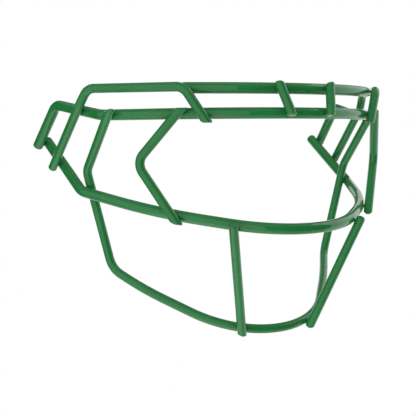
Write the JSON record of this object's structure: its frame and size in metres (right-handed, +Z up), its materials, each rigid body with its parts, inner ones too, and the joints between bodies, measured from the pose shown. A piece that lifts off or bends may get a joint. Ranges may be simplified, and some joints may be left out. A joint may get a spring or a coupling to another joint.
{
  "type": "football helmet facemask",
  "caption": "Welded wire face guard for a football helmet: brow bars, mouth bar, jaw bar, side hoops and bent eye bars around an open face space.",
  "frame": {"origin": "centre of the cage's bounding box", "axes": "+Z up as worn, -Y out of the front of the mask, +Y to the wearer's ears, +X to the wearer's left; the cage is symmetric about X = 0"},
  "size_m": [0.2478, 0.1618, 0.1638],
  "materials": {
    "coated_wire": "thick glossy green coat over steel wire",
    "coated_weld": "thick glossy green coat over small weld fillets"
  },
  "bodies": {
    "root": {"upper_brow_bar": "coated_wire", "lower_brow_bar": "coated_wire", "mouth_bar": "coated_wire", "jaw_bar": "coated_wire", "side_hoop_right": "coated_wire", "side_hoop_left": "coated_wire", "eye_chevron_right": "coated_wire", "eye_chevron_left": "coated_wire", "brow_tie_right": "coated_wire", "brow_tie_left": "coated_wire", "jaw_strut_right": "coated_wire", "jaw_strut_left": "coated_wire", "weld_brow_leg_to_mouth_bar": "coated_weld", "weld_hoop_to_mouth_bar": "coated_weld", "weld_hoop_rear_to_lower_brow": "coated_weld", "weld_hoop_front_to_lower_brow": "coated_weld", "weld_hoop_to_upper_brow": "coated_weld", "weld_jaw_bar_to_lower_brow": "coated_weld", "weld_jaw_bar_to_mouth_bar": "coated_weld", "weld_chevron_to_lower_brow": "coated_weld", "weld_chevron_to_mouth_bar": "coated_weld", "weld_tie_to_upper_brow": "coated_weld", "weld_tie_to_lower_brow": "coated_weld", "weld_strut_to_mouth_bar": "coated_weld", "weld_strut_to_jaw_bar": "coated_weld"}
  },
  "joints": []
}
